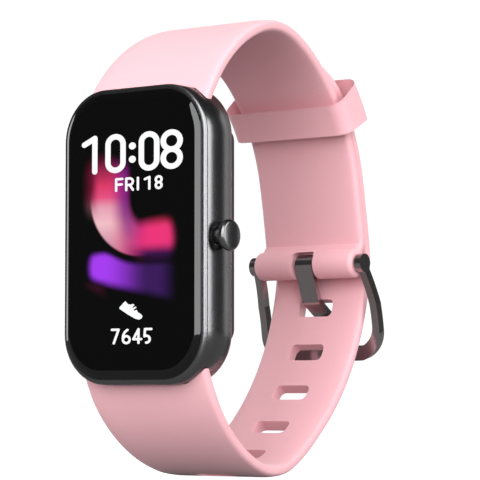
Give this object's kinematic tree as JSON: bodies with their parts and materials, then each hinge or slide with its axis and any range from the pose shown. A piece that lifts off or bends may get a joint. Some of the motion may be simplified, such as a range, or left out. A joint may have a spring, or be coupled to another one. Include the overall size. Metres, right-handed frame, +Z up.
{
  "type": "fitness tracker band",
  "caption": "Slim wrist fitness tracker with a tall curved-glass screen, a side crown and a soft strap closed by a pin buckle and a sliding keeper loop.",
  "frame": {"origin": "on the wrist's axis, in the middle of the strap's width and level with the middle of the case", "axes": "+X along the wrist's axis towards the crown, -Y the way the screen faces, +Z up the case"},
  "size_m": [0.0302, 0.0528, 0.0716],
  "materials": {
    "gunmetal": "anodised dark grey, satin",
    "screen_glass": "polished black glass over a screen",
    "black_foam": "matt",
    "black_ink": "printed",
    "screen": "lit screen",
    "flex": "amber polyimide",
    "chassis_metal": "milled",
    "steel": "turned",
    "board": "solder mask",
    "chip": "moulded",
    "tin": "tinned",
    "battery_wrap": "foil pouch",
    "copper": "plated",
    "black_shell": "fine texture",
    "sensor_glass": "polished",
    "gold": "gold plated",
    "seal_rubber": "moulded",
    "silicone": "matt pink silicone",
    "buckle_metal": "polished gunmetal"
  },
  "bodies": {
    "case": {"case_frame": "gunmetal", "cover_glass": "screen_glass", "glass_gasket": "black_foam", "border_mask": "black_ink", "display_panel": "screen", "display_flex": "flex", "mid_chassis": "chassis_metal", "chassis_screws": "steel", "main_board": "board", "board_chips": "chip", "shield_can": "tin", "battery": "battery_wrap", "vibration_motor": "tin", "antenna_strip": "copper", "sensor_flex": "flex", "back_gasket": "black_foam", "back_cover": "black_shell", "sensor_window": "sensor_glass", "sensor_board": "board", "sensor_leds": "chip", "light_baffle": "black_shell", "charge_pins": "gold", "charge_magnets": "steel", "back_screws": "steel", "crown_bush": "steel", "crown_switch": "chip", "strap_top": "silicone", "strap_bottom": "silicone", "spring_bar_top": "steel", "spring_bar_bottom": "steel", "bar_spring_top": "steel", "bar_spring_bottom": "steel", "buckle_bar": "buckle_metal"},
    "plunger": {"switch_plunger": "chip"},
    "crown": {"crown_knob": "gunmetal", "crown_stem": "steel", "crown_clip": "steel", "crown_oring": "seal_rubber"},
    "pin_top": {"release_pin_top": "steel"},
    "pin_bottom": {"release_pin_bottom": "steel"},
    "keeper": {"keeper_loop": "silicone"},
    "buckle": {"buckle_frame": "buckle_metal"},
    "tang": {"buckle_tang": "buckle_metal"}
  },
  "joints": [
    {"name": "crown_press", "type": "slide", "parent": "case", "child": "plunger", "axis": [-1, 0, 0], "range_m": [0, 0.00045], "stiffness_N_per_m": 1500, "springref_m": -0.0006},
    {"name": "crown_turn", "type": "hinge", "parent": "plunger", "child": "crown", "pos_m": [0.0138, -0.0245, -0.0005], "axis": [1, 0, 0], "continuous": true},
    {"name": "release_top", "type": "slide", "parent": "case", "child": "pin_top", "axis": [-1, 0, 0], "range_m": [0, 0.0012], "stiffness_N_per_m": 500, "springref_m": -0.0015, "deforming": ["bar_spring_top"]},
    {"name": "release_bottom", "type": "slide", "parent": "case", "child": "pin_bottom", "axis": [-1, 0, 0], "range_m": [0, 0.0012], "stiffness_N_per_m": 500, "springref_m": -0.0015, "deforming": ["bar_spring_bottom"]},
    {"name": "keeper_slide", "type": "hinge", "parent": "case", "child": "keeper", "pos_m": [0, -0.00979, 0.00556], "axis": [1, 0, 0], "range_deg": [-14, 8]},
    {"name": "buckle_swing", "type": "hinge", "parent": "case", "child": "buckle", "pos_m": [0, 0.019, -0.0024], "axis": [1, 0, 0], "range_deg": [-2.5, 3]},
    {"name": "tang_swing", "type": "hinge", "parent": "buckle", "child": "tang", "pos_m": [0, 0.019, -0.0024], "axis": [1, 0, 0], "range_deg": [0, 3]}
  ]
}
